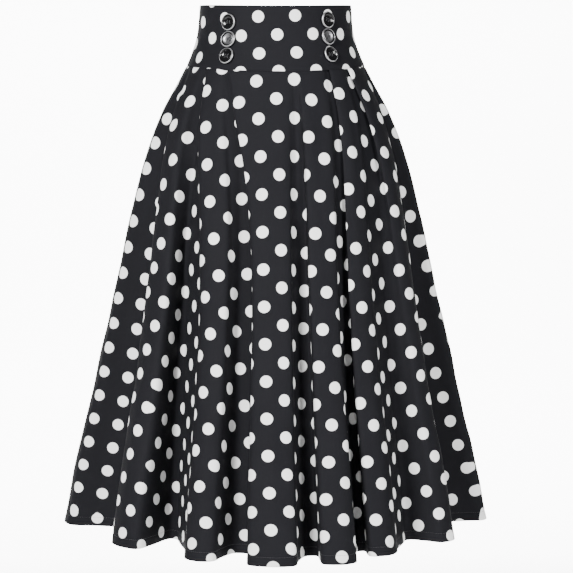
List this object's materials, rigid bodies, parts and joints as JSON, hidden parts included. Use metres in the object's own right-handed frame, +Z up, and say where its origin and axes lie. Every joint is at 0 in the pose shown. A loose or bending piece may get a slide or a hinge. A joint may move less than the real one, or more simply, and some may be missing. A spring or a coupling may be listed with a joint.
{
  "type": "pleated midi skirt",
  "caption": "High-waisted full midi skirt with a wide shaped waistband, knife pleats, decorative waistband buttons and a back zip, hollow and hanging as worn.",
  "frame": {"origin": "middle of the waist opening, level with the top edge of the waistband, where the wearer's waist holds the skirt", "axes": "+Z up along the body; -Y is the front of the skirt, +Y the back with the zip; +X is the side that a viewer of the front sees on the right"},
  "size_m": [0.6183, 0.6322, 0.751],
  "materials": {
    "cotton": "matte woven cotton, black with off-white dots",
    "button_black": "polished black resin",
    "button_silver": "smooth grey metal finish on resin",
    "zip_tape": "black woven tape",
    "zip_metal": "black enamelled metal"
  },
  "bodies": {
    "garment": {"waistband_front": "cotton", "waistband_back_left": "cotton", "waistband_back_right": "cotton", "skirt_front": "cotton", "skirt_back_left": "cotton", "skirt_back_right": "cotton", "button_left_1": "button_black", "button_left_2": "button_silver", "button_left_3": "button_black", "button_right_1": "button_black", "button_right_2": "button_silver", "button_right_3": "button_black", "zip_tape": "zip_tape", "zip_slider": "zip_metal"},
    "zip_pull": {"zip_pull": "zip_metal"}
  },
  "joints": [
    {"name": "zip_pull_swing", "type": "hinge", "parent": "garment", "child": "zip_pull", "pos_m": [0, 0.10737, -0.00535], "axis": [1, 0, 0], "range_deg": [0, 160]}
  ]
}
